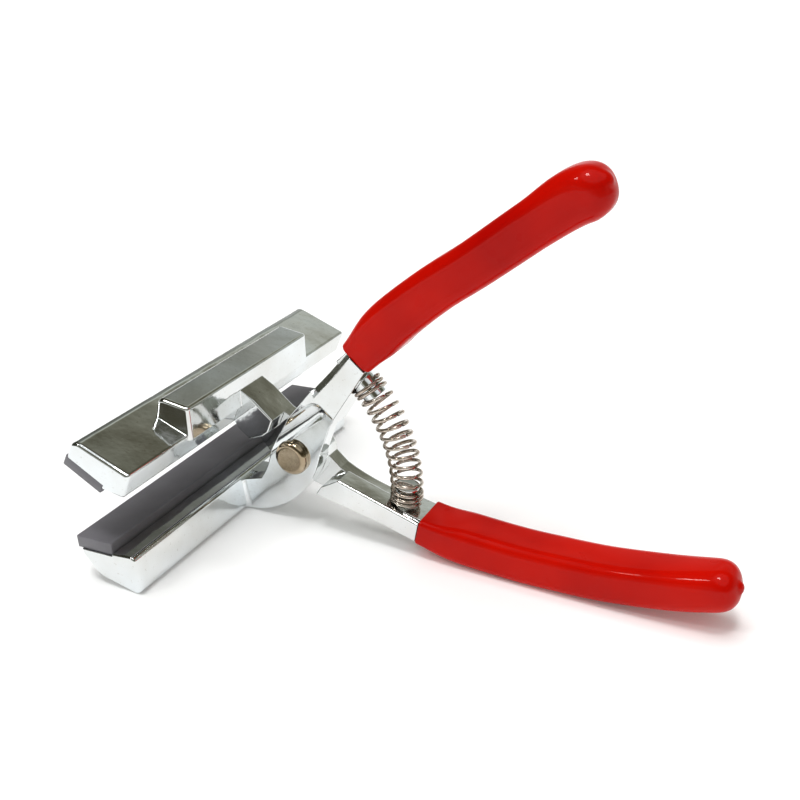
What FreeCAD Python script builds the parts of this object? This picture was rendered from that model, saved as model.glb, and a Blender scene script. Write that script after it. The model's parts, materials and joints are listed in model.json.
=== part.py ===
"""Wide-jaw canvas stretching pliers, as a parametric FreeCAD document (millimetres).

Two cast levers cross at a riveted lap joint. The front lever carries the lower jaw and the upper
handle, the rear lever the upper jaw and the lower handle. A bent coil spring holds the handles apart.

All outlines are drawn in the pivot frame: the hinge axis is the Y axis, X runs from the jaws to the
handles and Z is up. Each sub-part is then placed by PIVOT, so that the finished part stands on Z = 0
and is centred over the origin.
"""
import FreeCAD, Part
import math
import os

import Sketcher

Vector = FreeCAD.Vector

# ---------------------------------------------------------------------------------------------
# Driving dimensions. Every entry becomes a cell of the sheet with this name as its alias.
# ---------------------------------------------------------------------------------------------
DIMS = {
    # place of the hinge axis in the finished part
    "pivot_across": -48.34,
    "pivot_up": 23.88,
    # jaws
    "jaw_width": 120.0,
    "lower_tilt": 3.0,
    "upper_tilt": -28.0,
    "pad_width": 119.0,
    "pad_thickness": 4.0,
    "lower_pad_depth": 13.2,
    "pad_drop": 7.6,
    "lower_pad_front": -42.3,
    "upper_pad_front": -44.1,
    "upper_pad_depth": 14.3,
    "rib_length": 66.0,
    "upper_end_round": 1.2,
    "lower_end_round": 0.7,
    "rib_end_round": 1.2,
    # soft edges of the castings
    "jaw_root_round": 1.5,
    "plate_edge_round": 0.35,
    "web_edge_round": 0.5,
    "arm_edge_round": 0.6,
    "arm_back_round": 1.0,
    "arm_chamfer": 2.0,
    # lap joint
    "arm_half": 7.0,
    "plate_face": 5.5,
    "lap_gap": 0.1,
    "rivet_radius": 3.5,
    "bore_radius": 3.53,
    "head_radius": 5.7,
    "head_face_radius": 4.1,
    "head_height": 2.4,
    "tail_radius": 5.2,
    "tail_height": 2.0,
    "tail_face_radius": 2.6,
    "rim_height": 0.6,
    "head_gap": 0.05,
    "cove_radius": 4.0,
    "cove_depth": 0.8,
    "ramp_radius": 14.0,
    "ramp_length": 12.0,
    "ramp_lift": 0.04,
    # handles: tang inside the grip, and the dipped grip around it
    "tang_half": 3.4,
    "tang_side": 5.4,
    "tang_fit": 0.05,
    "tang_root": 6.0,
    "tang_short": 9.0,
    "socket_start": 2.0,
    "grip_half": 6.2,
    "grip_side": 7.8,
    "grip_corner": 4.8,
    "lower_handle_radius": 205.0,
    "upper_handle_radius": 600.0,
    # return spring
    "wire_radius": 0.55,
    "coil_radius": 4.6,
    "spring_bend": 45.5,
    "open_turns": 11.0,
    "closed_turns": 2.0,
    "closed_pitch": 1.38,
    "boss_radius": 3.7,
    "boss_height": 5.0,
    "boss_sink": 2.0,
}

# Named corners (x, z) of every outline, in order round it. A third entry rounds that corner.
# The jaw outlines are in a frame tilted about the hinge axis, level with the pad's working face.
OUTLINES = {
    "lower_jaw": {
        "seat_front": (-40.6, -11.6),
        "seat_rear": (-28.95, -11.6),
        "lip": (-28.95, -10.8),
        "top_rear": (-21.0, -10.4, 1.6),
        "bottom_rear": (-19.4, -23.6, 2.6),
        "bottom_front": (-35.4, -19.5, 6.0),
        "nose": (-40.2, -13.4, 1.6),
    },
    "upper_jaw": {
        "seat_front": (-43.6, -3.6),
        "nose": (-43.9, 2.6, 3.2),
        "top_rear": (-23.4, 5.4, 0.9),
        "bottom_rear": (-22.6, -3.0, 0.9),
        "lip": (-29.65, -5.6),
        "seat_rear": (-29.65, -3.6),
    },
    "rib": {
        "base_front": (-30.2, 18.6),
        "top_front": (-28.4, 26.4, 2.4),
        "top_rear": (-17.5, 25.0, 1.2),
        "base_rear": (-17.3, 14.6),
        "root": (-22.0, 13.0),
    },
    # near half of the web between the upper jaw and the pivot
    "upper_web": {
        "jaw_top": (-17.6, 20.3),
        "bend": (-12.8, 17.5),
        "shoulder_top": (-6.1, 11.9),
        "shoulder": (-8.0, 7.3),
        "shoulder_foot": (-10.3, 5.4),
        "under": (-15.0, 3.6),
        "jaw_under": (-19.0, 6.6),
        "jaw_root": (-21.4, 10.0),
    },
    # far half of the web between the lower jaw and the pivot
    "lower_web": {
        "jaw_top": (-21.4, -12.6),
        "shoulder_top": (-14.6, -12.2),
        "shoulder": (-9.6, -17.6),
        "shoulder_foot": (-11.4, -21.2),
        "jaw_foot": (-20.4, -22.6),
    },
    # near half of the lower arm, which starts behind the shoulder
    "lower_arm": {
        "shoulder_foot": (8.6, -10.9),
        "shoulder_knee": (10.7, -7.6),
        "shoulder_top": (16.9, -3.9),
        "mouth_top": (44.3, -12.2),
        "mouth_foot": (43.1, -18.6),
        "under": (31.4, -15.4),
    },
    # full thickness of the upper arm; its left side is the shoulder that clears the far plate
    "upper_arm": {
        "shoulder_foot": (12.9, 11.9),
        "right": (13.7, 13.2),
        "mouth_right": (27.0, 34.4),
        "mouth_left": (20.8, 39.6),
        "left": (14.6, 31.9),
        "shoulder_top": (8.7, 25.1),
        "shoulder": (8.2, 15.6),
    },
}

# Lap-joint plates: corners joined by arcs, each corner with the bulge of the side that follows it.
# A bulge is the height of the arc over its chord, positive to the right of the way round.
PLATES = {
    "front_plate": [
        ("jaw_foot", -21.5, -23.4, 0.6),
        ("belly", -10.4, -21.5, 4.1),
        ("right", 9.9, 3.0, 0.0),
        ("right_top", 13.7, 13.2, 0.0),
        ("arm_left", 8.7, 25.2, 0.0),
        ("waist", 0.2, 14.6, 0.4),
        ("neck", -8.3, 0.4, -0.6),
        ("throat", -12.6, -10.8, 0.0),
        ("jaw_top", -21.6, -13.6, 0.0),
    ],
    # raised strip of the near plate between the cove and its left edge
    "front_rim": [
        ("neck", -8.3, 0.4, 0.0),
        ("cove_top", 11.3, 17.0, 0.0),
        ("arm_left", 8.7, 25.2, 0.0),
        ("waist", 0.2, 14.6, 0.4),
    ],
    "rear_plate": [
        ("jaw_top", -17.6, 20.3, 0.0),
        ("web_bend", -12.8, 17.5, 0.0),
        ("web_top", -6.1, 11.9, 0.0),
        ("crown", -1.5, 9.6, -2.9),
        ("disc_right", 9.8, 0.0, 0.0),
        ("hollow", 13.9, -3.5, 0.5),
        ("arm_top", 28.9, -9.0, 0.0),
        ("mouth_top", 44.3, -12.4, 0.0),
        ("mouth_foot", 43.1, -18.6, 0.0),
        ("under", 24.0, -13.8, -0.6),
        ("belly", 3.0, -10.4, -1.2),
        ("throat", -12.4, -3.2, 0.0),
        ("jaw_under", -20.6, 6.0, 0.0),
    ],
}

# Handle centrelines: where the grip starts and where its tip ends.
HANDLES = {
    "lower_handle": (44.0, -14.5, 138.6, -8.8),
    "upper_handle": (23.6, 37.6, 94.2, 97.0),
}

# Foot of the cove across the near plate, and the foot of the ramp that rises to the upper arm.
LINES = {
    "cove": (-11.0, 0.0, 9.7, 17.5),
    "ramp": (8.95, 15.0, 13.0, 11.8),
}

# Spring seats: centre of each end coil on the centreline of the bent spring.
SPRING_ENDS = {"spring_top": (23.9, 27.7), "spring_foot": (37.2, -8.6)}

# How near an edge lies to a plane or a line that it is looked up by.
ON_EDGE = 0.02
NEAR_LINE = 0.1

# Least volume that a real socket takes away.
LEAST_CUT = 1.0

doc = FreeCAD.newDocument("canvas_pliers")
sheet = doc.addObject("Spreadsheet::Sheet", "dims")


def fill_sheet():
    """Write every driving dimension into the sheet, one row each: name, value."""
    cells = dict(DIMS)
    for outline, corners in OUTLINES.items():
        for corner, place in corners.items():
            cells[f"{outline}_{corner}_across"] = place[0]
            cells[f"{outline}_{corner}_up"] = place[1]
            if len(place) > 2:
                cells[f"{outline}_{corner}_round"] = place[2]
    for plate, corners in PLATES.items():
        for corner, across, up, bulge in corners:
            cells[f"{plate}_{corner}_across"] = across
            cells[f"{plate}_{corner}_up"] = up
            cells[f"{plate}_{corner}_bulge"] = bulge
    for handle, (across, up, tip_across, tip_up) in HANDLES.items():
        cells[f"{handle}_across"] = across
        cells[f"{handle}_up"] = up
        cells[f"{handle}_tip_across"] = tip_across
        cells[f"{handle}_tip_up"] = tip_up
    for line, (across, up, end_across, end_up) in LINES.items():
        cells[f"{line}_across"] = across
        cells[f"{line}_up"] = up
        cells[f"{line}_end_across"] = end_across
        cells[f"{line}_end_up"] = end_up
    for end, (across, up) in SPRING_ENDS.items():
        cells[f"{end}_across"] = across
        cells[f"{end}_up"] = up
    for row, (name, value) in enumerate(cells.items(), start=1):
        sheet.set(f"A{row}", name)
        sheet.set(f"B{row}", str(value))
        sheet.setAlias(f"B{row}", name)
    doc.recompute()


fill_sheet()


def dim(name):
    """The value of a sheet cell."""
    return float(sheet.get(name))


def place_at_pivot(piece):
    """Move a sub-part drawn in the pivot frame to its place in the finished part."""
    piece.setExpression("Placement.Base.x", "dims.pivot_across")
    piece.setExpression("Placement.Base.z", "dims.pivot_up")


def new_body(label):
    body = doc.addObject("PartDesign::Body", label)
    body.Label = label
    place_at_pivot(body)
    return body


def side_sketch(body, name, far_side, tilt=None):
    """An empty sketch in the XZ plane at Y = far_side, turned about the hinge axis by tilt."""
    sketch = body.newObject("Sketcher::SketchObject", name)
    planes = [o for o in body.Origin.OriginFeatures if o.Role == "XZ_Plane"]
    sketch.AttachmentSupport = [(planes[0], "")]
    sketch.MapMode = "FlatFace"
    sketch.setExpression("AttachmentOffset.Base.z", f"-({far_side})")
    if tilt:
        sketch.AttachmentOffset = FreeCAD.Placement(Vector(), FreeCAD.Rotation(Vector(0, 0, 1), 1))
        sketch.setExpression("AttachmentOffset.Rotation.Angle", f"{tilt} * 1deg")
    return sketch


def pin_point(sketch, curve, end, across, up):
    """Hold one end of a curve at the place that two sheet cells give."""
    for kind, expression in (("DistanceX", across), ("DistanceY", up)):
        value = dim(expression)
        index = sketch.addConstraint(Sketcher.Constraint(kind, -1, 1, curve, end, value))
        sketch.setExpression(f"Constraints[{index}]", f"dims.{expression}")


def close_loop(sketch, count):
    for index in range(count):
        following = (index + 1) % count
        sketch.addConstraint(Sketcher.Constraint("Coincident", index, 2, following, 1))


def draw_polygon(sketch, outline):
    """Straight sides between the named corners of an outline."""
    corners = [f"{outline}_{corner}" for corner in OUTLINES[outline]]
    places = [Vector(dim(f"{c}_across"), dim(f"{c}_up"), 0) for c in corners]
    for index, start in enumerate(places):
        sketch.addGeometry(Part.LineSegment(start, places[(index + 1) % len(places)]), False)
    close_loop(sketch, len(places))
    for index, corner in enumerate(corners):
        pin_point(sketch, index, 1, f"{corner}_across", f"{corner}_up")


def arc_through(start, end, bulge):
    """The arc from start to end whose middle stands off the chord by bulge."""
    chord = end - start
    side = Vector(chord.y, -chord.x, 0).normalize()
    return Part.Arc(start, (start + end) * 0.5 + side * bulge, end)


def draw_plate(sketch, plate):
    """Sides between the named corners of a plate: straight, or an arc where a bulge is given."""
    corners = [f"{plate}_{corner[0]}" for corner in PLATES[plate]]
    places = [Vector(dim(f"{c}_across"), dim(f"{c}_up"), 0) for c in corners]
    swapped = set()
    for index, corner in enumerate(corners):
        start, end = places[index], places[(index + 1) % len(places)]
        bulge = dim(f"{corner}_bulge")
        if bulge:
            arc = arc_through(start, end, bulge)
            sketch.addGeometry(arc, False)
            drawn = sketch.Geometry[index]
            if (sketch.getPoint(index, 1) - start).Length > (sketch.getPoint(index, 2) - start).Length:
                swapped.add(index)
            radius = f"(({end_distance(corner, corners, index)})^2 / 4 + {corner}_bulge^2)"
            sketch.addConstraint(Sketcher.Constraint("Radius", index, drawn.Radius))
            sketch.setExpression(
                f"Constraints[{sketch.ConstraintCount - 1}]",
                f"{with_sheet(radius)} / (2 * abs(dims.{corner}_bulge))",
            )
        else:
            sketch.addGeometry(Part.LineSegment(start, end), False)
    for index, corner in enumerate(corners):
        following = (index + 1) % len(corners)
        end_point = 1 if index in swapped else 2
        start_point = 2 if following in swapped else 1
        sketch.addConstraint(Sketcher.Constraint("Coincident", index, end_point, following, start_point))
    for index, corner in enumerate(corners):
        start_point = 2 if index in swapped else 1
        pin_point(sketch, index, start_point, f"{corner}_across", f"{corner}_up")


def end_distance(corner, corners, index):
    """The chord of a plate's side, as an expression."""
    following = corners[(index + 1) % len(corners)]
    across = f"({following}_across - {corner}_across)"
    up = f"({following}_up - {corner}_up)"
    return f"sqrt({across}^2 + {up}^2)"


def with_sheet(expression):
    """Put the sheet's name in front of every alias in an expression."""
    words = []
    for word in expression.replace("(", " ( ").replace(")", " ) ").replace("^", " ^ ").split():
        is_alias = word.replace("_", "").isalpha() and word != "sqrt"
        words.append(f"dims.{word}" if is_alias else word)
    return " ".join(words).replace("sqrt (", "sqrt(")


def pad(body, name, sketch, length):
    """Pad a side sketch towards the near side, -Y."""
    feature = body.newObject("PartDesign::Pad", name)
    feature.Profile = sketch
    feature.setExpression("Length", length)
    sketch.Visibility = False
    doc.recompute()
    return feature


def long_edges(feature, places, tolerance=0.05):
    """Names of the feature's straight edges along Y that pass one of the (x, z) places."""
    names = []
    for number, edge in enumerate(feature.Shape.Edges, start=1):
        first, last = edge.firstVertex().Point, edge.lastVertex().Point
        if abs(first.x - last.x) > tolerance or abs(first.z - last.z) > tolerance:
            continue
        if any(math.hypot(first.x - x, first.z - z) < tolerance for x, z in places):
            names.append(f"Edge{number}")
    return names


def fillet(body, name, feature, edges, radius):
    """Round the named edges of a feature, which must exist."""
    if not edges:
        raise RuntimeError(f"{name} has no edges to round")
    rounding = body.newObject("PartDesign::Fillet", name)
    rounding.Base = (feature, edges)
    rounding.setExpression("Radius", radius)
    doc.recompute()
    return rounding


def turned(across, up, tilt):
    """A place of a tilted jaw frame, in the pivot frame."""
    angle = math.radians(tilt)
    return (
        across * math.cos(angle) - up * math.sin(angle),
        across * math.sin(angle) + up * math.cos(angle),
    )


def round_corners(body, outline, feature, tilt=0.0):
    """Round every corner of an outline that has a radius."""
    for corner, place in OUTLINES[outline].items():
        if len(place) < 3:
            continue
        alias = f"{outline}_{corner}"
        spot = turned(dim(f"{alias}_across"), dim(f"{alias}_up"), tilt)
        edges = long_edges(feature, [spot])
        feature = fillet(body, f"{alias}_fillet", feature, edges, f"dims.{alias}_round")
    return feature


def prism(body, outline, near_side, far_side, tilt=None):
    """Pad an outline between two Y planes and round its corners."""
    sketch = side_sketch(body, f"{outline}_sketch", far_side, tilt)
    draw_polygon(sketch, outline)
    feature = pad(body, f"{outline}_prism", sketch, f"({far_side}) - ({near_side})")
    return round_corners(body, outline, feature, dim(tilt.split(".")[1]) if tilt else 0.0)


def end_edges(feature, width, keep_sharp=(), lowest=-100.0):
    """Names of the edges of a bar's two end faces, above lowest and clear of the kept (x, z) places."""
    names = []
    for number, edge in enumerate(feature.Shape.Edges, start=1):
        box = edge.BoundBox
        if box.YLength > ON_EDGE or abs(abs(box.YMin) - dim(width) / 2) > ON_EDGE:
            continue
        gaps = [math.hypot(v.X - x, v.Z - z) for v in edge.Vertexes for x, z in keep_sharp]
        if min(gaps, default=1.0) > ON_EDGE and box.ZMin > lowest:
            names.append(f"Edge{number}")
    return names


def edges_between(feature, first, last, side):
    """Names of the edges in the plane Y = side whose ends both lie between two (x, z) places."""
    start, end = Vector(first[0], 0, first[1]), Vector(last[0], 0, last[1])
    line = Part.LineSegment(start, end).toShape()
    names = []
    for number, edge in enumerate(feature.Shape.Edges, start=1):
        box = edge.BoundBox
        if box.YLength > ON_EDGE or abs(box.YMin - side) > ON_EDGE:
            continue
        ends = [Part.Vertex(v.X, 0, v.Z) for v in edge.Vertexes]
        if len(ends) == 2 and all(line.distToShape(end)[0] < NEAR_LINE for end in ends):
            names.append(f"Edge{number}")
    return names


def soften(body, name, outline, corners, side, radius):
    """Round the edges in the plane Y = side that join a run of an outline's corners."""
    feature = body.Tip
    places = [(dim(f"{outline}_{c}_across"), dim(f"{outline}_{c}_up")) for c in corners]
    edges = []
    for first, last in zip(places, places[1:]):
        edges += edges_between(feature, first, last, side)
    return fillet(body, name, feature, edges, f"dims.{radius}")


def jaw_corner(jaw, corner):
    """A corner of a jaw's outline, in the pivot frame."""
    tilt = dim(jaw.replace("jaw", "tilt"))
    return turned(dim(f"{jaw}_{corner}_across"), dim(f"{jaw}_{corner}_up"), tilt)


def outline_ends(outline, first, last):
    """The (x, z) places of two corners of an outline."""
    return [(dim(f"{outline}_{c}_across"), dim(f"{outline}_{c}_up")) for c in (first, last)]


def plate(body, name, near_side, far_side):
    sketch = side_sketch(body, f"{name}_sketch", far_side)
    draw_plate(sketch, name)
    return pad(body, f"{name}_prism", sketch, f"({far_side}) - ({near_side})")


def handle_curve(handle, radius_name, side, offset, start_trim=0.0, end_trim=0.0):
    """An arc beside a handle's centreline; side is +1 where the handle curves upwards."""
    start = Vector(dim(f"{handle}_across"), 0, dim(f"{handle}_up"))
    tip = Vector(dim(f"{handle}_tip_across"), 0, dim(f"{handle}_tip_up"))
    radius = dim(radius_name)
    chord = tip - start
    normal = Vector(-chord.z, 0, chord.x).normalize() * side
    middle = (start + tip) * 0.5
    centre = middle + normal * math.sqrt(radius**2 - (chord.Length / 2) ** 2)
    half = math.asin(chord.Length / 2 / radius)
    outward = normal * -1
    along = chord.normalize()

    def at(angle, reach):
        return centre + (outward * math.cos(angle) + along * math.sin(angle)) * reach

    first = -half + start_trim / radius
    last = half - end_trim / radius
    return [at(angle, radius + offset) for angle in (first, (first + last) / 2, last)]


def handle_sketch(body, name, far_side, curves):
    """A sketch of the band between two arcs beside a handle's centreline."""
    sketch = side_sketch(body, name, far_side)
    outer, inner = [[Vector(p.x, p.z, 0) for p in curve] for curve in curves]
    sketch.addGeometry(Part.Arc(*outer), False)
    sketch.addGeometry(Part.LineSegment(outer[2], inner[2]), False)
    sketch.addGeometry(Part.Arc(*inner), False)
    sketch.addGeometry(Part.LineSegment(inner[0], outer[0]), False)
    return sketch


def tang(body, handle, radius_name, side):
    """The bar that a lever's handle has inside its grip, with its own outline and sides."""
    half, root, short = dim("tang_half"), dim("tang_root"), dim("tang_short")
    curves = [handle_curve(handle, radius_name, side, o, -root, short) for o in (half, -half)]
    sketch = handle_sketch(body, f"{handle}_tang_sketch", "dims.tang_side", curves)
    return pad(body, f"{handle}_tang", sketch, "2 * dims.tang_side")


def grip(label, handle, radius_name, side):
    """A dipped grip: a rounded bar on the handle's centreline with a socket for the tang."""
    body = new_body(label)
    half, fit = dim("grip_half"), dim("tang_fit")
    curves = [handle_curve(handle, radius_name, side, o) for o in (half, -half)]
    sketch = handle_sketch(body, f"{label}_sketch", "dims.grip_side", curves)
    bar = pad(body, f"{label}_bar", sketch, "2 * dims.grip_side")
    tip = Vector(dim(f"{handle}_tip_across"), 0, dim(f"{handle}_tip_up"))
    start = Vector(dim(f"{handle}_across"), 0, dim(f"{handle}_up"))
    middle = (start + tip) / 2
    rounded = []
    for number, edge in enumerate(bar.Shape.Edges, start=1):
        box = edge.BoundBox
        is_long = edge.Length > (tip - start).Length / 2
        at_mouth = (Vector(box.Center.x, 0, box.Center.z) - start).Length < (middle - start).Length
        if is_long or not at_mouth:
            rounded.append(f"Edge{number}")
    body_round = fillet(body, f"{label}_round", bar, rounded, "dims.grip_corner")
    inner = dim("tang_half") + fit
    trims = (-dim("socket_start"), dim("tang_short") - fit)
    curves = [handle_curve(handle, radius_name, side, o, *trims) for o in (inner, -inner)]
    sketch = handle_sketch(body, f"{label}_socket_sketch", "dims.tang_side + dims.tang_fit", curves)
    socket = body.newObject("PartDesign::Pocket", f"{label}_socket")
    socket.Profile = sketch
    socket.setExpression("Length", "2 * (dims.tang_side + dims.tang_fit)")
    socket.Reversed = True
    doc.recompute()
    if socket.Shape.Volume > body_round.Shape.Volume - LEAST_CUT:
        raise RuntimeError(f"{label} has no socket")
    body.Tip = socket
    return body


def spring_centre():
    """Centre of the spring's bend and the angles of its two ends, in the XZ plane."""
    top = Vector(dim("spring_top_across"), 0, dim("spring_top_up"))
    foot = Vector(dim("spring_foot_across"), 0, dim("spring_foot_up"))
    chord = foot - top
    inward = Vector(chord.z, 0, -chord.x).normalize()
    radius = dim("spring_bend")
    centre = (top + foot) * 0.5 + inward * math.sqrt(radius**2 - (chord.Length / 2) ** 2)
    angles = [math.atan2(p.z - centre.z, p.x - centre.x) for p in (top, foot)]
    return centre, angles


def spring_boss(body, name, end_index):
    """The round stud, cast with the lever, that the end of the spring slips over."""
    centre, angles = spring_centre()
    angle = angles[end_index]
    radius = dim("spring_bend")
    seat = centre + Vector(math.cos(angle), 0, math.sin(angle)) * radius
    turn = -1 if end_index == 0 else 1
    axis = Vector(-math.sin(angle), 0, math.cos(angle)) * turn
    stud = body.newObject("PartDesign::AdditiveCylinder", name)
    stud.setExpression("Radius", "dims.boss_radius")
    stud.setExpression("Height", "dims.boss_height + dims.boss_sink")
    foot = seat - axis * dim("boss_sink")
    stud.Placement = FreeCAD.Placement(foot, FreeCAD.Rotation(Vector(0, 0, 1), axis))
    doc.recompute()
    return stud


def pivot_bore(body):
    """The hole through a lever for the rivet."""
    bore = body.newObject("PartDesign::SubtractiveCylinder", f"{body.Label}_bore")
    bore.setExpression("Radius", "dims.bore_radius")
    bore.setExpression("Height", "4 * dims.arm_half")
    side = FreeCAD.Rotation(Vector(0, 0, 1), Vector(0, 1, 0))
    bore.Placement = FreeCAD.Placement(Vector(0, -2 * dim("arm_half"), 0), side)
    doc.recompute()
    body.Tip = bore
    return bore


def line_ends(line):
    """The two ends of a line across the near plate."""
    start = Vector(dim(f"{line}_across"), 0, dim(f"{line}_up"))
    end = Vector(dim(f"{line}_end_across"), 0, dim(f"{line}_end_up"))
    return start, end


def face_groove(body, line, radius, length, lift):
    """Cut a long round groove whose bottom runs along a line of the near plate, lift above it."""
    start, end = line_ends(line)
    along = end - start
    groove = body.newObject("PartDesign::SubtractiveCylinder", f"{line}_groove")
    groove.setExpression("Radius", radius)
    groove.setExpression("Height", length)
    turn = FreeCAD.Rotation(Vector(0, 0, 1), along)
    groove.Placement = FreeCAD.Placement(start, turn)
    groove.setExpression("Placement.Base.y", f"-dims.plate_face - {radius} - ({lift})")
    doc.recompute()
    return groove


def front_cove(body):
    """The cove beside the raised rim, its round end, and the ramp from the plate to the arm."""
    end = line_ends("cove")[1]
    across = "(dims.cove_end_across - dims.cove_across)"
    up = "(dims.cove_end_up - dims.cove_up)"
    length = f"sqrt({across}^2 + {up}^2)"
    face_groove(body, "cove", "dims.cove_radius", length, "-dims.cove_depth")
    ball = body.newObject("PartDesign::SubtractiveSphere", "cove_ball")
    ball.setExpression("Radius", "dims.cove_radius")
    ball.Placement = FreeCAD.Placement(end, FreeCAD.Rotation())
    ball.setExpression("Placement.Base.y", "-dims.plate_face - dims.cove_radius + dims.cove_depth")
    doc.recompute()
    face_groove(body, "ramp", "dims.ramp_radius", "dims.ramp_length", "dims.ramp_lift")


def front_lever():
    """Lower jaw, near plate of the lap joint, and upper handle, cast in one."""
    body = new_body("front_lever")
    near, far, face = -dim("arm_half"), dim("arm_half"), -dim("plate_face")
    jaw = prism(body, "lower_jaw", "-dims.jaw_width / 2", "dims.jaw_width / 2", "dims.lower_tilt")
    ends = end_edges(jaw, "jaw_width", [jaw_corner("lower_jaw", "seat_rear")])
    fillet(body, "lower_jaw_ends", jaw, ends, "dims.lower_end_round")
    prism(body, "lower_web", "-dims.lap_gap", "dims.arm_half")
    root = plate(body, "front_plate", "-dims.plate_face", "-dims.lap_gap")
    top, bottom = [jaw_corner("lower_jaw", corner) for corner in ("top_rear", "bottom_rear")]
    fillet(body, "jaw_root", root, edges_between(root, top, bottom, face), "dims.jaw_root_round")
    soften(body, "belly_edge", "front_plate", ["belly", "right"], face, "plate_edge_round")
    prism(body, "upper_arm", "-dims.arm_half", "dims.arm_half")
    plate(body, "front_rim", "-dims.arm_half", "-dims.plate_face")
    front_cove(body)
    arm = body.Tip
    left = edges_between(arm, *outline_ends("upper_arm", "left", "mouth_left"), near)
    chamfer = body.newObject("PartDesign::Chamfer", "arm_chamfer_edge")
    chamfer.Base = (arm, left)
    chamfer.setExpression("Size", "dims.arm_chamfer")
    doc.recompute()
    back = ["mouth_left", "left", "shoulder_top"]
    soften(body, "arm_back", "upper_arm", back, far, "arm_back_round")
    soften(body, "arm_near_edge", "upper_arm", ["right", "mouth_right"], near, "arm_edge_round")
    soften(body, "arm_far_edge", "upper_arm", ["right", "mouth_right"], far, "arm_edge_round")
    tang(body, "upper_handle", "upper_handle_radius", -1)
    spring_boss(body, "upper_boss", 0)
    pivot_bore(body)
    return body


def rear_lever():
    """Upper jaw with its fulcrum rib, far plate of the lap joint, and lower handle, cast in one."""
    body = new_body("rear_lever")
    near, face = -dim("arm_half"), dim("plate_face")
    jaw = prism(body, "upper_jaw", "-dims.jaw_width / 2", "dims.jaw_width / 2", "dims.upper_tilt")
    ends = end_edges(jaw, "jaw_width", [jaw_corner("upper_jaw", "seat_rear")])
    fillet(body, "upper_jaw_ends", jaw, ends, "dims.upper_end_round")
    rib = prism(body, "rib", "-dims.rib_length / 2", "dims.rib_length / 2")
    above_jaw = dim("rib_base_front_up")
    ends = end_edges(rib, "rib_length", lowest=above_jaw)
    fillet(body, "rib_ends", rib, ends, "dims.rib_end_round")
    prism(body, "upper_web", "-dims.arm_half", "dims.lap_gap")
    plate(body, "rear_plate", "dims.lap_gap", "dims.plate_face")
    prism(body, "lower_arm", "-dims.arm_half", "dims.lap_gap")
    web = ["bend", "shoulder_top", "shoulder", "shoulder_foot", "under"]
    soften(body, "web_edge", "upper_web", web, near, "web_edge_round")
    soften(body, "arm_top_edge", "lower_arm", ["shoulder_top", "mouth_top"], near, "arm_edge_round")
    foot = ["shoulder_foot", "under", "mouth_foot"]
    soften(body, "arm_foot_edge", "lower_arm", foot, near, "arm_edge_round")
    hollow = ["disc_right", "hollow", "arm_top"]
    soften(body, "hollow_edge", "rear_plate", hollow, face, "web_edge_round")
    tang(body, "lower_handle", "lower_handle_radius", 1)
    spring_boss(body, "lower_boss", 1)
    pivot_bore(body)
    return body


def jaw_pad(label, front, depth, tilt, foot):
    """A flat elastomer strip bonded along a jaw; foot is its lower face in the tilted frame."""
    pad_box = doc.addObject("Part::Box", label)
    pad_box.Label = label
    pad_box.setExpression("Length", depth)
    pad_box.setExpression("Width", "dims.pad_width")
    pad_box.setExpression("Height", "dims.pad_thickness")
    pad_box.Placement = FreeCAD.Placement(Vector(), FreeCAD.Rotation(Vector(0, -1, 0), 1))
    turn = f"{tilt} * 1deg"
    pad_box.setExpression("Placement.Rotation.Angle", turn)
    pad_box.setExpression(
        "Placement.Base.x", f"dims.pivot_across + {front} * cos({turn}) - ({foot}) * sin({turn})"
    )
    pad_box.setExpression("Placement.Base.y", "-dims.pad_width / 2")
    pad_box.setExpression(
        "Placement.Base.z", f"dims.pivot_up + {front} * sin({turn}) + ({foot}) * cos({turn})"
    )
    return pad_box


def pivot_rivet():
    """Solid rivet on the Y axis: domed head with a flat face near, formed tail far."""
    body = new_body("pivot_rivet")
    sketch = body.newObject("Sketcher::SketchObject", "rivet_half_section")
    planes = [o for o in body.Origin.OriginFeatures if o.Role == "XY_Plane"]
    sketch.AttachmentSupport = [(planes[0], "")]
    sketch.MapMode = "FlatFace"
    seat = dim("plate_face") + dim("head_gap")
    shank = dim("rivet_radius")
    sides = []
    for sign, radius, face, height in (
        (-1, dim("head_radius"), dim("head_face_radius"), dim("head_height")),
        (1, dim("tail_radius"), dim("tail_face_radius"), dim("tail_height")),
    ):
        rim = dim("rim_height")
        diagonal = math.sqrt(0.5)
        bow = Vector(face + (radius - face) * diagonal, sign * (seat + rim + (height - rim) * diagonal))
        sides.append(
            {
                "axis": Vector(0, sign * (seat + height)),
                "face": Vector(face, sign * (seat + height)),
                "bow": bow,
                "rim": Vector(radius, sign * (seat + rim)),
                "foot": Vector(radius, sign * seat),
                "neck": Vector(shank, sign * seat),
            }
        )
    head, tail = sides
    sketch.addGeometry(Part.LineSegment(head["axis"], head["face"]), False)
    sketch.addGeometry(Part.Arc(head["face"], head["bow"], head["rim"]), False)
    sketch.addGeometry(Part.LineSegment(head["rim"], head["foot"]), False)
    sketch.addGeometry(Part.LineSegment(head["foot"], head["neck"]), False)
    sketch.addGeometry(Part.LineSegment(head["neck"], tail["neck"]), False)
    sketch.addGeometry(Part.LineSegment(tail["neck"], tail["foot"]), False)
    sketch.addGeometry(Part.LineSegment(tail["foot"], tail["rim"]), False)
    sketch.addGeometry(Part.Arc(tail["rim"], tail["bow"], tail["face"]), False)
    sketch.addGeometry(Part.LineSegment(tail["face"], tail["axis"]), False)
    sketch.addGeometry(Part.LineSegment(tail["axis"], head["axis"]), False)
    turned_rivet = body.newObject("PartDesign::Revolution", "rivet_turned")
    turned_rivet.Profile = sketch
    turned_rivet.ReferenceAxis = (sketch, ["V_Axis"])
    turned_rivet.Angle = 360
    sketch.Visibility = False
    doc.recompute()
    return body


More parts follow.
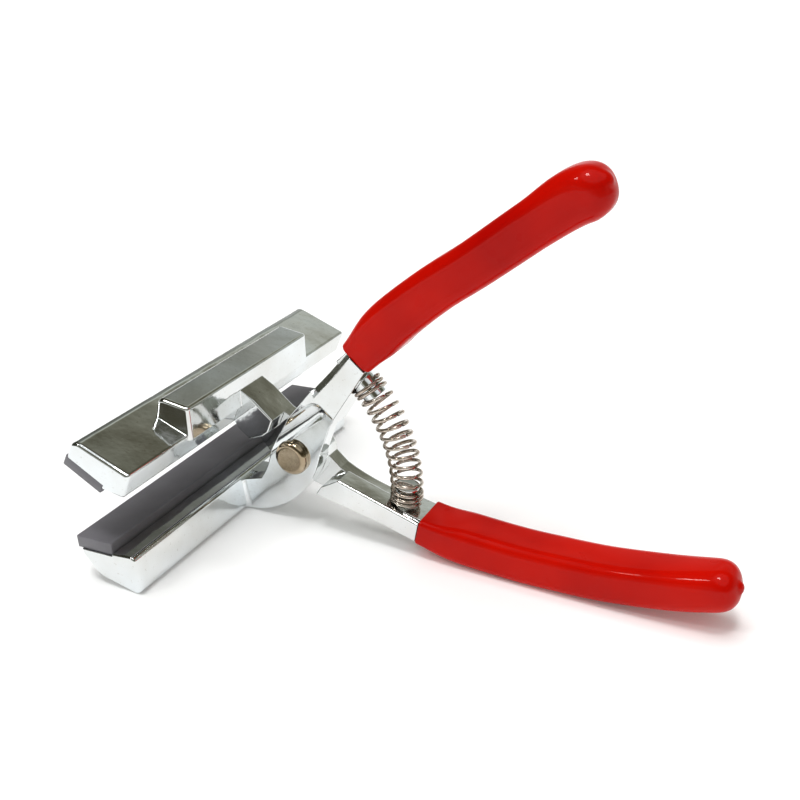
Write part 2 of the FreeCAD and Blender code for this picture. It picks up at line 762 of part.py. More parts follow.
def return_spring():
    """Bent compression spring with closed end coils.

    Every half turn is a semicircle that spans two points of the XZ plane and bows along Y, so each
    meets the next with the same tangent.
    """
    centre, (start_angle, end_angle) = spring_centre()
    bend = dim("spring_bend")
    coil = dim("coil_radius")
    open_turns, closed_turns = int(dim("open_turns")), int(dim("closed_turns"))
    closed_step = dim("closed_pitch") / 2 / bend
    whole = abs(end_angle - start_angle)
    open_step = (whole - 4 * closed_turns * closed_step) / (2 * open_turns)
    steps = [closed_step] * (2 * closed_turns) + [open_step] * (2 * open_turns)
    steps += [closed_step] * (2 * closed_turns)
    way = math.copysign(1, end_angle - start_angle)
    angle = start_angle
    points = []
    for number in range(len(steps) + 1):
        reach = bend + (coil if number % 2 == 0 else -coil)
        points.append(centre + Vector(math.cos(angle), 0, math.sin(angle)) * reach)
        if number < len(steps):
            angle += way * steps[number]
    turns = []
    for number, (start, end) in enumerate(zip(points, points[1:])):
        side = Vector(0, (end - start).Length / 2 * (-1) ** number, 0)
        turns.append(Part.Arc(start, (start + end) * 0.5 + side, end).toShape())
    section = Part.Wire(Part.makeCircle(dim("wire_radius"), points[0], Vector(0, 1, 0)))
    spring = doc.addObject("Part::Feature", "return_spring")
    spring.Label = "return_spring"
    spring.Shape = Part.Wire(turns).makePipeShell([section], True, False)
    spring.Placement = FreeCAD.Placement(
        Vector(dim("pivot_across"), 0, dim("pivot_up")), FreeCAD.Rotation()
    )
    return spring


def build():
    lower_foot = "-dims.pad_drop - dims.pad_thickness"
    pieces = [
        front_lever(),
        rear_lever(),
        jaw_pad(
            "lower_jaw_pad", "dims.lower_pad_front", "dims.lower_pad_depth", "dims.lower_tilt", lower_foot
        ),
        jaw_pad(
            "upper_jaw_pad",
            "dims.upper_pad_front",
            "dims.upper_pad_depth",
            "dims.upper_tilt",
            "-dims.pad_drop",
        ),
        pivot_rivet(),
        return_spring(),
        grip("upper_grip", "upper_handle", "upper_handle_radius", -1),
        grip("lower_grip", "lower_handle", "lower_handle_radius", 1),
    ]
    doc.recompute()
    return pieces


def check_and_export(pieces):
    for item in doc.Objects:
        if {"Invalid", "Error"} & set(item.State):
            raise RuntimeError(f"{item.Label} failed: {item.State}")
    whole = FreeCAD.BoundBox()
    for piece in pieces:
        shape = piece.Shape
        if shape.isNull() or not shape.isValid() or len(shape.Solids) != 1:
            raise RuntimeError(f"{piece.Label} is not one valid solid")
        whole.add(shape.optimalBoundingBox(False))
    os.makedirs("parts", exist_ok=True)
    for piece in pieces:
        piece.Shape.exportStep(f"parts/{piece.Label}.step")
        box = piece.Shape.optimalBoundingBox(False)
        print(f"{piece.Label}: {piece.Shape.Volume:.0f} mm3, {box.XLength:.1f} x {box.YLength:.1f}"
              f" x {box.ZLength:.1f}")
    print(f"whole: x {whole.XMin:.2f}..{whole.XMax:.2f} y {whole.YMin:.2f}..{whole.YMax:.2f}"
          f" z {whole.ZMin:.2f}..{whole.ZMax:.2f}")


check_and_export(build())
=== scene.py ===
"""Looks of the canvas stretching pliers: chrome castings, dipped grips, spring, rivet and jaw pads.

Blender works in metres in the part's own frame. Sizes here are in millimetres and are multiplied
by MM where they are used. PIVOT lies on the hinge axis, with X towards the handles, Y along the
axis and Z up; shapes that follow the levers are described from there.
"""
import json
import math

import bmesh
import bpy
from mathutils import Matrix, Vector, noise


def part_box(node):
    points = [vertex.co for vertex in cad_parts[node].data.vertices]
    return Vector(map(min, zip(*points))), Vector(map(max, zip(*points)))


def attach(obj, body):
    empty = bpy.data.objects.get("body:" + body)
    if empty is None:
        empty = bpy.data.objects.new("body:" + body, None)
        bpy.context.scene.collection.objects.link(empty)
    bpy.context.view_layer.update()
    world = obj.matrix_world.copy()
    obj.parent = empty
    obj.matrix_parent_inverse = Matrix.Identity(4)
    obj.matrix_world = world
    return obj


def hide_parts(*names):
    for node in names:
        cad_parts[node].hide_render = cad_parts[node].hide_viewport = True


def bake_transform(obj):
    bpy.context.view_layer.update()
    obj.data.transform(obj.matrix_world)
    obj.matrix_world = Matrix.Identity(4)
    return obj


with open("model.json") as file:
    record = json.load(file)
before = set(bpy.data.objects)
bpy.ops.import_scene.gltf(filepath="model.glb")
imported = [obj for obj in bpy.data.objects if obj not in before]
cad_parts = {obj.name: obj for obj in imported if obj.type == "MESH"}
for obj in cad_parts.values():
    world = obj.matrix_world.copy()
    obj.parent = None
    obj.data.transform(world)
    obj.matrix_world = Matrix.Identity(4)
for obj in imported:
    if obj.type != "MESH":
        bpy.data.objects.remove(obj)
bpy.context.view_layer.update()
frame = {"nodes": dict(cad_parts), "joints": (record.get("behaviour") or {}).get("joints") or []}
NODES = frame["nodes"]

MM = 0.001
PIVOT = Vector(frame["joints"][0]["pos_m"])
ACROSS = Vector((0, 1, 0))

# ------------------------------------------------------------------------------------------
# Camera and studio
# ------------------------------------------------------------------------------------------
CAMERA_FROM_PIVOT = Vector((162.4, -250.1, 157.5)) * MM
CAMERA_AZIMUTH = 26.97
CAMERA_ELEVATION = 25.33
CAMERA_ROLL = -0.47
CAMERA_LENS = 47.25

FLOOR_METRES = 12.0
FLOOR_COLOUR = (0.93, 0.93, 0.93, 1.0)
FLOOR_GLOW = 0.09

# Studio seen in the chrome. Its dark ceiling leans towards the handles and the near side, so a
# direction's place in the bands is its height along SKY_AXIS: (place, colour)
SKY_AXIS = (0.30, -0.25, 1.0)
SKY_BANDS = (
    (-0.36, (1.00, 1.00, 1.00)),
    (-0.10, (0.93, 0.95, 0.96)),
    (0.08, (0.48, 0.50, 0.48)),
    (0.26, (0.28, 0.29, 0.26)),
    (0.36, (0.54, 0.56, 0.52)),
    (0.41, (0.40, 0.41, 0.36)),
    (0.46, (0.25, 0.25, 0.205)),
    (0.59, (0.10, 0.095, 0.068)),
    (0.84, (0.10, 0.095, 0.070)),
    (0.93, (0.75, 0.77, 0.77)),
)
# The wall beyond the jaws is dark too: (direction's X, share of the light)
WALL_BANDS = (
    (-0.75, (0.10, 0.10, 0.08)),
    (-0.50, (0.60, 0.60, 0.58)),
    (-0.40, (1.00, 1.00, 1.00)),
)
SKY_STRENGTH = 0.95

# Distant lights: name, where it comes from, width in degrees, strength, seen in glossy surfaces.
# The two gleams draw the bright line and the bright spots on the dipped grips.
LIGHTS = (
    ("key_light", (-0.32, 0.10, 1.3), 38.0, 1.10, False),
    ("front_fill", (0.35, -1.0, 0.75), 90.0, 0.20, False),
    ("gleam", (-0.41, -0.46, 0.72), 10.0, 0.34, True),
    ("top_gleam", (0.02, -0.22, 0.97), 12.0, 0.60, True),
)


def add_camera():
    """The photograph's viewpoint."""
    data = bpy.data.cameras.new("camera")
    data.lens = CAMERA_LENS
    data.clip_start, data.clip_end = 0.01, 50.0
    camera = bpy.data.objects.new("camera", data)
    turn = Matrix.Rotation(math.radians(CAMERA_AZIMUTH), 4, "Z")
    tilt = Matrix.Rotation(math.radians(90.0 - CAMERA_ELEVATION), 4, "X")
    roll = Matrix.Rotation(math.radians(CAMERA_ROLL), 4, "Z")
    place = Matrix.Translation(PIVOT + CAMERA_FROM_PIVOT)
    camera.matrix_world = place @ turn @ tilt @ roll
    bpy.context.scene.collection.objects.link(camera)
    bpy.context.scene.camera = camera


def add_light(name, place, width, strength, glossy):
    """A far light, wide enough for a soft shadow."""
    data = bpy.data.lights.new(name, "SUN")
    data.angle = math.radians(width)
    data.energy = strength
    light = bpy.data.objects.new(name, data)
    light.rotation_euler = Vector(place).to_track_quat("Z", "Y").to_euler()
    light.visible_glossy = glossy
    bpy.context.scene.collection.objects.link(light)


def add_sky():
    """A studio that lights the object and shows in its gloss, behind a plain pale backdrop."""
    world = bpy.data.worlds.new("studio")
    world.use_nodes = True
    bpy.context.scene.world = world
    nodes, links = world.node_tree.nodes, world.node_tree.links
    direction = nodes.new("ShaderNodeTexCoord").outputs["Generated"]
    sky = sky_part(world.node_tree, direction, SKY_AXIS, SKY_BANDS)
    wall = sky_part(world.node_tree, direction, (1.0, 0.0, 0.0), WALL_BANDS)
    both = nodes.new("ShaderNodeVectorMath")
    both.operation = "MULTIPLY"
    links.new(sky, both.inputs[0])
    links.new(wall, both.inputs[1])
    background = nodes["Background"]
    background.inputs["Strength"].default_value = SKY_STRENGTH
    links.new(both.outputs["Vector"], background.inputs["Color"])
    backdrop = nodes.new("ShaderNodeBackground")
    backdrop.inputs["Color"].default_value = FLOOR_COLOUR
    chosen = nodes.new("ShaderNodeMixShader")
    links.new(nodes.new("ShaderNodeLightPath").outputs["Is Camera Ray"], chosen.inputs["Fac"])
    links.new(background.outputs["Background"], chosen.inputs[1])
    links.new(backdrop.outputs["Background"], chosen.inputs[2])
    links.new(chosen.outputs["Shader"], nodes["World Output"].inputs["Surface"])


def sky_part(tree, direction, axis, bands):
    """Colours that depend on how far a direction points along an axis, from -1 to 1."""
    along = tree.nodes.new("ShaderNodeVectorMath")
    along.operation = "DOT_PRODUCT"
    tree.links.new(direction, along.inputs[0])
    along.inputs[1].default_value = axis
    height = tree.nodes.new("ShaderNodeMapRange")
    height.inputs["From Min"].default_value = -1.0
    tree.links.new(along.outputs["Value"], height.inputs["Value"])
    ramp = tree.nodes.new("ShaderNodeValToRGB")
    fill_ramp(ramp, [((1 + level) / 2, (*colour, 1.0)) for level, colour in bands])
    tree.links.new(height.outputs["Result"], ramp.inputs["Fac"])
    return ramp.outputs["Color"]


def add_floor():
    """A plain pale floor under the object."""
    mesh = bpy.data.meshes.new("floor")
    half = FLOOR_METRES / 2
    corners = [(-half, -half, 0), (half, -half, 0), (half, half, 0), (-half, half, 0)]
    mesh.from_pydata(corners, [], [(0, 1, 2, 3)])
    floor = bpy.data.objects.new("floor", mesh)
    bpy.context.scene.collection.objects.link(floor)
    material = bpy.data.materials.new("pale_floor")
    material.use_nodes = True
    shader = material.node_tree.nodes["Principled BSDF"]
    shader.inputs["Base Color"].default_value = FLOOR_COLOUR
    shader.inputs["Roughness"].default_value = 0.9
    shader.inputs["Specular IOR Level"].default_value = 0.1
    shader.inputs["Emission Color"].default_value = FLOOR_COLOUR
    shader.inputs["Emission Strength"].default_value = FLOOR_GLOW
    mesh.materials.append(material)


# ------------------------------------------------------------------------------------------
# Materials
# ------------------------------------------------------------------------------------------
def fill_ramp(ramp, stops):
    """Set a colour ramp's stops, given as (place, colour)."""
    elements = ramp.color_ramp.elements
    while len(elements) > 1:
        elements.remove(elements[-1])
    for index, (place, colour) in enumerate(stops):
        element = elements[0] if index == 0 else elements.new(place)
        element.position = place
        element.color = colour


BEVEL_SAMPLES = 8


class Finish:
    """A Principled material and short ways to add its textures. Texture sizes are in metres."""

    def __init__(self, name, **constants):
        self.material = bpy.data.materials.new(name)
        self.material.use_nodes = True
        self.nodes = self.material.node_tree.nodes
        self.links = self.material.node_tree.links
        self.shader = self.nodes["Principled BSDF"]
        for socket, value in constants.items():
            self.shader.inputs[socket.replace("_", " ")].default_value = value
        self.place = self.nodes.new("ShaderNodeTexCoord").outputs["Object"]

    def noise(self, size, detail, stretch=(1.0, 1.0, 1.0)):
        """Noise whose blots are about size across, longer along an axis whose stretch is above 1."""
        mapping = self.nodes.new("ShaderNodeMapping")
        mapping.inputs["Scale"].default_value = [1 / (size * s) for s in stretch]
        self.links.new(self.place, mapping.inputs["Vector"])
        texture = self.nodes.new("ShaderNodeTexNoise")
        texture.inputs["Scale"].default_value = 1.0
        texture.inputs["Detail"].default_value = detail
        self.links.new(mapping.outputs["Vector"], texture.inputs["Vector"])
        return texture.outputs["Fac"]

    def spread(self, value, low, high, start, end):
        """Map a noise value between start and end onto low and high."""
        spread = self.nodes.new("ShaderNodeMapRange")
        limits = {"From Min": start, "From Max": end, "To Min": low, "To Max": high}
        for socket, limit in limits.items():
            spread.inputs[socket].default_value = limit
        self.links.new(value, spread.inputs["Value"])
        return spread.outputs["Result"]

    def colours(self, value, *stops):
        """Colour a value by stops of (place, colour)."""
        ramp = self.nodes.new("ShaderNodeValToRGB")
        fill_ramp(ramp, [(place, (*colour, 1.0)) for place, colour in stops])
        self.links.new(value, ramp.inputs["Fac"])
        return ramp.outputs["Color"]

    def mixed(self, amount, under, over):
        """Cover a textured colour with a plain one by an amount."""
        mix = self.nodes.new("ShaderNodeMix")
        mix.data_type = "RGBA"
        self.links.new(amount, mix.inputs["Factor"])
        first, second = [s for s in mix.inputs if s.type == "RGBA"]
        self.links.new(under, first)
        second.default_value = (*over, 1.0)
        return [s for s in mix.outputs if s.type == "RGBA"][0]

    def bumps(self, *layers, edge=None):
        """Stack bumps of (value, height in metres, strength); edge softens the real corners."""
        normal = None
        if edge:
            bevel = self.nodes.new("ShaderNodeBevel")
            bevel.samples = BEVEL_SAMPLES
            bevel.inputs["Radius"].default_value = edge
            normal = bevel.outputs["Normal"]
        for value, height, strength in layers:
            bump = self.nodes.new("ShaderNodeBump")
            bump.inputs["Strength"].default_value = strength
            bump.inputs["Distance"].default_value = height
            self.links.new(value, bump.inputs["Height"])
            if normal:
                self.links.new(normal, bump.inputs["Normal"])
            normal = bump.outputs["Normal"]
        self.links.new(normal, self.shader.inputs["Normal"])

    def feed(self, socket, value):
        """Drive one of the shader's sockets by a texture."""
        self.links.new(value, self.shader.inputs[socket])


def chrome():
    """Bright chrome plate over a casting: soft ripples, dimples, dull specks, faint stains."""
    finish = Finish("chrome_casting", Metallic=1.0)
    stains = finish.noise(26 * MM, detail=4.0)
    clouds = finish.colours(stains, (0.30, (0.69, 0.69, 0.67)), (0.64, (0.82, 0.85, 0.865)))
    specks = finish.noise(1.1 * MM, detail=2.0)
    dust = finish.spread(specks, 0.0, 0.35, start=0.66, end=0.74)
    finish.feed("Base Color", finish.mixed(dust, clouds, (0.45, 0.42, 0.38)))
    haze = finish.noise(9 * MM, detail=2.0)
    finish.feed("Roughness", finish.spread(haze, 0.03, 0.13, start=0.15, end=0.85))
    ripple = finish.noise(17 * MM, detail=1.0)
    waves = finish.noise(7 * MM, detail=2.0)
    dimples = finish.noise(1.8 * MM, detail=2.0)
    finish.bumps(
        (ripple, 0.9 * MM, 0.45),
        (waves, 0.22 * MM, 0.35),
        (dimples, 0.05 * MM, 0.3),
        edge=0.45 * MM,
    )
    return finish.material


def dipped_red():
    """Glossy red vinyl from a dip tank: deep colour, orange peel and slow runs."""
    finish = Finish(
        "dipped_red",
        IOR=1.5,
        Coat_Weight=0.38,
        Coat_Roughness=0.04,
        Specular_IOR_Level=0.04,
    )
    depth = finish.noise(24 * MM, detail=2.0)
    finish.feed(
        "Base Color",
        finish.colours(depth, (0.32, (0.46, 0.004, 0.001)), (0.68, (0.60, 0.008, 0.001))),
    )
    wear = finish.noise(7 * MM, detail=2.0)
    finish.feed("Roughness", finish.spread(wear, 0.22, 0.42, start=0.15, end=0.85))
    runs = finish.noise(18 * MM, detail=0.5)
    peel = finish.noise(2.4 * MM, detail=1.0)
    finish.bumps((runs, 0.35 * MM, 0.22), (peel, 0.006 * MM, 0.12))
    return finish.material


def grey_elastomer():
    """Smooth matt grey elastomer, a little polished where canvas has been pulled over it."""
    finish = Finish("grey_elastomer", IOR=1.48, Sheen_Weight=0.12, Sheen_Roughness=0.5)
    tone = finish.noise(14 * MM, detail=4.0)
    finish.feed(
        "Base Color",
        finish.colours(tone, (0.3, (0.170, 0.164, 0.180)), (0.7, (0.212, 0.206, 0.226))),
    )
    polish = finish.noise(7 * MM, detail=2.0, stretch=(1.0, 4.0, 1.0))
    finish.feed("Roughness", finish.spread(polish, 0.34, 0.54, start=0.15, end=0.85))
    grain = finish.noise(0.35 * MM, detail=3.0)
    flow = finish.noise(12 * MM, detail=1.0, stretch=(1.0, 3.0, 1.0))
    finish.bumps((flow, 0.3 * MM, 0.3), (grain, 0.02 * MM, 0.35))
    return finish.material


def warm_nickel():
    """Bright nickel with a warm tone, finely dented by handling."""
    finish = Finish("warm_nickel", Metallic=1.0, Anisotropic=0.3)
    tone = finish.noise(3 * MM, detail=3.0)
    finish.feed(
        "Base Color",
        finish.colours(tone, (0.3, (0.36, 0.29, 0.20)), (0.7, (0.48, 0.40, 0.30))),
    )
    haze = finish.noise(2 * MM, detail=2.0)
    finish.feed("Roughness", finish.spread(haze, 0.08, 0.24, start=0.15, end=0.85))
    marks = finish.noise(0.7 * MM, detail=3.0)
    finish.bumps((marks, 0.03 * MM, 0.3), edge=0.15 * MM)
    return finish.material


def nickel_wire():
    """Nickel plated spring wire, finely rough and a little tarnished."""
    finish = Finish("nickel_wire", Metallic=1.0)
    tarnish = finish.noise(2.5 * MM, detail=4.0)
    finish.feed(
        "Base Color",
        finish.colours(tarnish, (0.34, (0.36, 0.29, 0.23)), (0.62, (0.66, 0.60, 0.54))),
    )
    haze = finish.noise(1.2 * MM, detail=2.0)
    finish.feed("Roughness", finish.spread(haze, 0.10, 0.30, start=0.15, end=0.85))
    lines = finish.noise(0.25 * MM, detail=2.0)
    finish.bumps((lines, 0.01 * MM, 0.4))
    return finish.material


# ------------------------------------------------------------------------------------------
# Shapes
# ------------------------------------------------------------------------------------------
CURVE_STEPS = 40


def at_pivot(along, up):
    """A point in the middle plane, given in millimetres from the hinge axis."""
    return PIVOT + Vector((along, 0.0, up)) * MM


def smooth_line(points, steps):
    """Evenly spaced points on a smooth curve through the given points."""
    reach = [points[0] * 2 - points[1], *points, points[-1] * 2 - points[-2]]
    fine = []
    for p0, p1, p2, p3 in zip(reach, reach[1:], reach[2:], reach[3:]):
        for step in range(CURVE_STEPS):
            t = step / CURVE_STEPS
            fine.append(
                0.5
                * (
                    p1 * 2
                    + (p2 - p0) * t
                    + (p0 * 2 - p1 * 5 + p2 * 4 - p3) * t**2
                    + (p1 * 3 - p0 - p2 * 3 + p3) * t**3
                )
            )
    fine.append(points[-1])
    lengths = [0.0]
    for first, second in zip(fine, fine[1:]):
        lengths.append(lengths[-1] + (second - first).length)
    spaced, index = [], 0
    for step in range(steps + 1):
        wanted = lengths[-1] * step / steps
        while index < len(fine) - 2 and lengths[index + 1] < wanted:
            index += 1
        share = (wanted - lengths[index]) / (lengths[index + 1] - lengths[index])
        spaced.append(fine[index].lerp(fine[index + 1], share))
    return spaced, lengths[-1]


def along_path(path, index):
    """The direction of a path at one of its points."""
    before, after = path[max(index - 1, 0)], path[min(index + 1, len(path) - 1)]
    return (after - before).normalized()


def eased(stops, share):
    """A value that eases from stop to stop; each stop is (share, value)."""
    for (s0, v0), (s1, v1) in zip(stops, stops[1:]):
        if share <= s1:
            t = (share - s0) / (s1 - s0)
            return v0 + (v1 - v0) * t * t * (3 - 2 * t)
    return stops[-1][1]


def rounded_section(half_high, half_wide, corner, count):
    """Points (up, side) round a rectangle with round corners, evenly spread by angle."""
    points = []
    for step in range(count):
        angle = math.tau * step / count
        quarter = int(angle // (math.pi / 2)) % 4
        sign_up = 1 if quarter in (0, 3) else -1
        sign_side = 1 if quarter in (0, 1) else -1
        up = sign_up * (half_high - corner) + corner * math.cos(angle)
        side = sign_side * (half_wide - corner) + corner * math.sin(angle)
        points.append((up, side))
    return points


def mesh_object(name, points, faces, material):
    """A smooth-shaded object with one material."""
    mesh = bpy.data.meshes.new(name)
    mesh.from_pydata(points, [], faces)
    mesh.materials.append(material)
    mesh.polygons.foreach_set("use_smooth", [True] * len(mesh.polygons))
    mesh.update()
    piece = bpy.data.objects.new(name, mesh)
    bpy.context.scene.collection.objects.link(piece)
    return piece


def joined_rings(rings, close_start, close_end):
    """Points and faces of a skin over rings of equal count."""
    points = [p for ring in rings for p in ring]
    count = len(rings[0])
    faces = []
    for row in range(len(rings) - 1):
        for step in range(count):
            following = (step + 1) % count
            a, b = row * count + step, row * count + following
            faces.append((a, b, b + count, a + count))
    if close_start:
        faces.append(tuple(reversed(range(count))))
    if close_end:
        last = (len(rings) - 1) * count
        faces.append(tuple(range(last, last + count)))
    return points, faces


# Grips, in millimetres: centreline from mouth to tip, then half height, half width and corner
# radius along it as (share of the length, value). The last "tip" of the length is a dome, fuller
# the larger "blunt" is, with the nub that the last drop of vinyl leaves on it.
GRIPS = {
    "upper_grip": {
        "line": [
            (23.7, 38.0), (29.3, 44.6), (35.5, 51.4), (47.7, 62.1),
            (59.5, 71.0), (75.7, 84.0), (85.4, 91.4), (94.8, 94.9),
        ],
        "half_high": [(0.0, 5.6), (0.13, 7.15), (0.5, 6.65), (0.74, 6.7), (0.9, 7.35), (1.0, 7.2)],
        "half_wide": [(0.0, 7.6), (0.13, 7.8), (0.5, 7.7), (1.0, 7.5)],
        "corner": [(0.0, 2.4), (0.13, 3.8), (0.7, 4.0), (1.0, 6.2)],
        "tip": 8.0,
        "blunt": 2.2,
        "nub": {"out": 0.6, "radius": 2.0, "up": 2.6, "side": -2.2},
    },
    "lower_grip": {
        "line": [
            (44.0, -15.1), (52.0, -16.6), (62.0, -17.3), (75.0, -17.8),
            (87.0, -17.5), (99.0, -16.9), (111.0, -15.4), (124.0, -13.1), (138.0, -9.5),
        ],
        "half_high": [(0.0, 4.5), (0.16, 6.1), (0.7, 6.15), (0.9, 6.5), (1.0, 6.3)],
        "half_wide": [(0.0, 7.4), (0.16, 7.8), (0.5, 7.8), (1.0, 7.5)],
        "corner": [(0.0, 1.8), (0.16, 3.4), (0.7, 3.6), (1.0, 5.6)],
        "tip": 6.5,
        "blunt": 2.5,
        "nub": {"out": 0.9, "radius": 1.7, "up": 0.2, "side": -1.2},
    },
}
GRIP_RINGS = 150
GRIP_POINTS = 72
TIP_RINGS = 40
MOUTH_WALL = 0.9
MOUTH_DEPTH = 5.0
MOUTH_LIP = 0.5
LIP_STEPS = 6


def nub_height(up, side, nub):
    """How far the nub on a tip stands out, at a place of the tip's section."""
    away = math.hypot(up - nub["up"], side - nub["side"]) / nub["radius"]
    return nub["out"] * math.exp(-(away**3))


def grip_section(shape, place, direction, share, shrink=0.0, scale=1.0, nub=None):
    """A grip's section at a share of its length, round a place and square to a direction."""
    high, wide = eased(shape["half_high"], share), eased(shape["half_wide"], share)
    corner = eased(shape["corner"], share)
    outline = rounded_section(high - shrink, wide - shrink, corner - shrink, GRIP_POINTS)
    upwards = ACROSS.cross(direction) * -1
    ring = []
    for up, side in [(u * scale, s * scale) for u, s in outline]:
        out = nub_height(up, side, nub) if nub else 0.0
        ring.append(place + (upwards * up + ACROSS * side + direction * out) * MM)
    return ring


def mouth_rings(shape, mouth, direction):
    """The grip's open end, from inside the mouth out over its rolled lip."""
    rings = []
    for depth in (MOUTH_DEPTH, MOUTH_DEPTH / 2, MOUTH_LIP):
        place = mouth + direction * depth * MM
        rings.append(grip_section(shape, place, direction, 0.0, MOUTH_WALL))
    for step in range(1, LIP_STEPS):
        angle = math.pi * step / LIP_STEPS
        inset = MOUTH_WALL / 2 * (1 + math.cos(angle))
        out = MOUTH_LIP * (1 - math.sin(angle))
        place = mouth + direction * out * MM
        rings.append(grip_section(shape, place, direction, 0.0, inset))
    return rings


def tip_rings(shape, spaced, directions, tip):
    """The blunt dome over the last share of a grip, with its nub."""
    rings = []
    for step in range(TIP_RINGS):
        angle = math.pi / 2 * step / TIP_RINGS
        share = 1 - tip + tip * math.sin(angle) ** (2 / shape["blunt"])
        scale = math.cos(angle) ** (2 / shape["blunt"])
        index = min(int(share * GRIP_RINGS), GRIP_RINGS - 1)
        place = spaced[index].lerp(spaced[index + 1], share * GRIP_RINGS - index)
        direction = directions[index]
        rings.append(grip_section(shape, place, direction, share, 0.0, scale, shape["nub"]))
    return rings


def grip(name, shape, body, material):
    """A dipped grip as one skin: inner mouth wall, rolled lip, waisted bar and rounded tip.

    Known fault: the skin's faces wind so that their normals point inwards.
    """
    line = [at_pivot(along, up) for along, up in shape["line"]]
    spaced, length = smooth_line(line, GRIP_RINGS)
    tip = shape["tip"] * MM / length
    directions = [along_path(spaced, index) for index in range(len(spaced))]
    rings = mouth_rings(shape, spaced[0], directions[0])
    for index, place in enumerate(spaced[1:], start=1):
        share = index / GRIP_RINGS
        if MOUTH_LIP * MM <= share * length and share < 1 - tip:
            rings.append(grip_section(shape, place, directions[index], share))
    rings += tip_rings(shape, spaced, directions, tip)
    points, faces = joined_rings(rings, close_start=True, close_end=False)
    last = (len(rings) - 1) * GRIP_POINTS
    points.append(spaced[-1] + directions[-1] * nub_height(0.0, 0.0, shape["nub"]) * MM)
    for step in range(GRIP_POINTS):
        faces.append((last + step, last + (step + 1) % GRIP_POINTS, len(points) - 1))
    piece = mesh_object(f"{name}_skin", points, faces, material)
    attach(piece, body)
    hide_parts(name)


# Return spring, in millimetres: its seats on the levers and its coils
SPRING_TOP = (23.9, 27.7)
SPRING_FOOT = (37.2, -8.6)
SPRING_BEND = 45.5
COIL_RADIUS = 4.6
WIRE_RADIUS = 0.55
OPEN_TURNS = 11.0
CLOSED_TURNS = 2.0
CLOSED_PITCH = 1.38
STEPS_PER_TURN = 40
WIRE_POINTS = 14
NEARLY_ACROSS = 0.9


def spring_path(top, foot):
    """The wire's centreline from the top seat to the foot, round a bent axis."""
    chord = foot - top
    inward = Vector((chord.z, 0, -chord.x)).normalized()
    bend = SPRING_BEND * MM
    centre = (top + foot) / 2 + inward * math.sqrt(bend**2 - chord.length_squared / 4)
    start, end = [math.atan2(p.z - centre.z, p.x - centre.x) for p in (top, foot)]
    arc = abs(end - start) * bend
    way = math.copysign(1, end - start)
    closed = CLOSED_TURNS * CLOSED_PITCH * MM

    def reach(turn):
        """Distance along the bent axis after a number of turns."""
        if turn < CLOSED_TURNS:
            return closed * turn / CLOSED_TURNS
        turn -= CLOSED_TURNS
        if turn < OPEN_TURNS:
            return closed + (arc - 2 * closed) * turn / OPEN_TURNS
        return arc - closed + closed * (turn - OPEN_TURNS) / CLOSED_TURNS

    path = []
    for step in range(round((2 * CLOSED_TURNS + OPEN_TURNS) * STEPS_PER_TURN) + 1):
        turn = step / STEPS_PER_TURN
        angle = start + way * reach(turn) / bend
        outward = Vector((math.cos(angle), 0, math.sin(angle)))
        around = math.tau * turn
        offset = outward * math.cos(around) + ACROSS * math.sin(around)
        path.append(centre + outward * bend + offset * COIL_RADIUS * MM)
    return path


def wire_rings(path):
    """Round sections of the wire along its centreline.

    Known fault: the sections' first point jumps where the wire comes near to the Y axis, so the
    skin is twisted and pinched between the two rings there.
    """
    rings = []
    for index, place in enumerate(path):
        along = along_path(path, index)
        side = along.cross(ACROSS if abs(along.y) < NEARLY_ACROSS else Vector((1, 0, 0)))
        side = side.normalized()
        other = along.cross(side).normalized()
        ring = []
        for step in range(WIRE_POINTS):
            angle = math.tau * step / WIRE_POINTS
            outward = side * math.cos(angle) + other * math.sin(angle)
            ring.append(place + outward * WIRE_RADIUS * MM)
        rings.append(ring)
    return rings


def spring(material):
    """A bent compression spring with closed end coils."""
    top, foot = at_pivot(*SPRING_TOP), at_pivot(*SPRING_FOOT)
    rings = wire_rings(spring_path(top, foot))
    points, faces = joined_rings(rings, close_start=True, close_end=True)
    piece = mesh_object("return_spring_wire", points, faces, material)
    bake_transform(piece)
    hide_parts("return_spring")


# Jaw pads, in millimetres: edge radius, depth and length of the waves in the face, least length
# of an edge that runs along the jaw, and how close points are to be merged
PAD_EDGE = 0.35
PAD_WAVE = 0.12
PAD_WAVE_LENGTH = 9.0
PAD_LONG_EDGE = 50.0
PAD_MERGE = 0.01
# Faces that turn by less than this are joined, and each long edge is cut this many times
PAD_FLAT_ANGLE = math.radians(1)
PAD_CUTS = 60


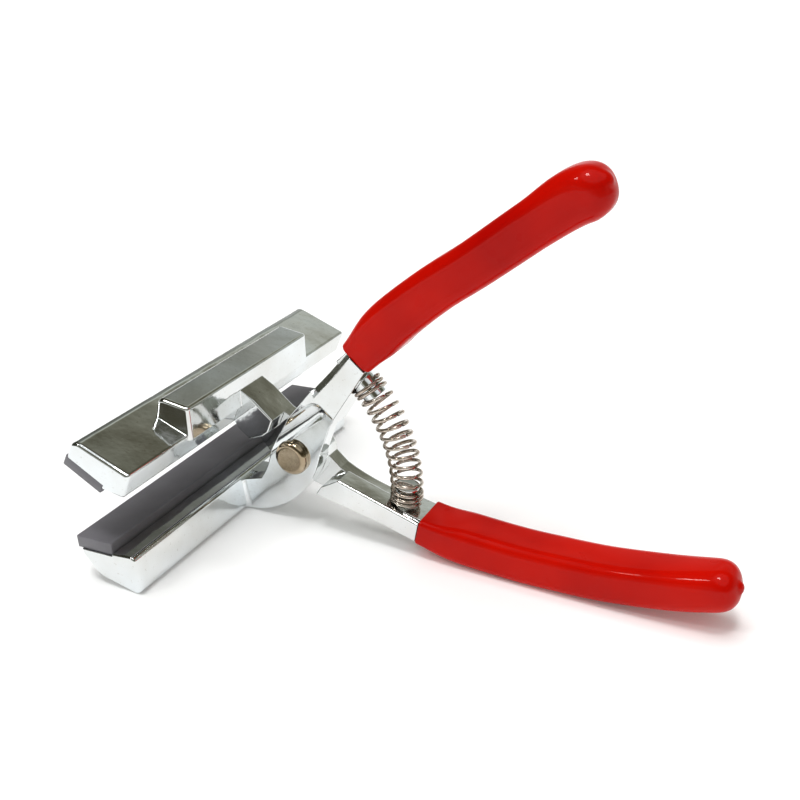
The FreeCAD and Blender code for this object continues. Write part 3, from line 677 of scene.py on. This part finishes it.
def jaw_pad(name, body, material):
    """A moulded strip: the solid of its CAD node with soft edges and a slightly uneven face."""
    mesh = NODES[name].data.copy()
    shape = bmesh.new()
    shape.from_mesh(mesh)
    bmesh.ops.remove_doubles(shape, verts=shape.verts, dist=PAD_MERGE * MM)
    bmesh.ops.dissolve_limit(
        shape, angle_limit=PAD_FLAT_ANGLE, verts=shape.verts, edges=shape.edges
    )
    bmesh.ops.bevel(
        shape, geom=shape.edges[:], offset=PAD_EDGE * MM, segments=4, affect="EDGES", profile=0.5
    )
    long_edge = PAD_LONG_EDGE * MM
    long_edges = [e for e in shape.edges if abs(e.verts[0].co.y - e.verts[1].co.y) > long_edge]
    bmesh.ops.subdivide_edges(shape, edges=long_edges, cuts=PAD_CUTS, use_grid_fill=True)
    low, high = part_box(name)
    middle = (low + high) / 2
    for vertex in shape.verts:
        wave = noise.noise(vertex.co / (PAD_WAVE_LENGTH * MM))
        inward = Vector((middle.x - vertex.co.x, 0, middle.z - vertex.co.z)).normalized()
        vertex.co += inward * (PAD_WAVE * MM) * (0.5 + 0.5 * wave)
    shape.to_mesh(mesh)
    shape.free()
    mesh.materials.clear()
    mesh.materials.append(material)
    mesh.polygons.foreach_set("use_smooth", [True] * len(mesh.polygons))
    piece = bpy.data.objects.new(f"{name}_strip", mesh)
    bpy.context.scene.collection.objects.link(piece)
    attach(piece, body)
    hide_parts(name)


def dress(node, material):
    """Give a CAD node its material."""
    for slot in NODES[node].material_slots:
        slot.material = material


add_camera()
add_sky()
add_floor()
for light in LIGHTS:
    add_light(*light)
view = bpy.context.scene.view_settings
view.view_transform = "Standard"
view.look = "Medium High Contrast"

chrome_material = chrome()
dress("front_lever", chrome_material)
dress("rear_lever", chrome_material)
dress("pivot_rivet", warm_nickel())
red = dipped_red()
grip("upper_grip", GRIPS["upper_grip"], "front_body", red)
grip("lower_grip", GRIPS["lower_grip"], "rear_body", red)
spring(nickel_wire())
grey = grey_elastomer()
jaw_pad("lower_jaw_pad", "front_body", grey)
jaw_pad("upper_jaw_pad", "rear_body", grey)
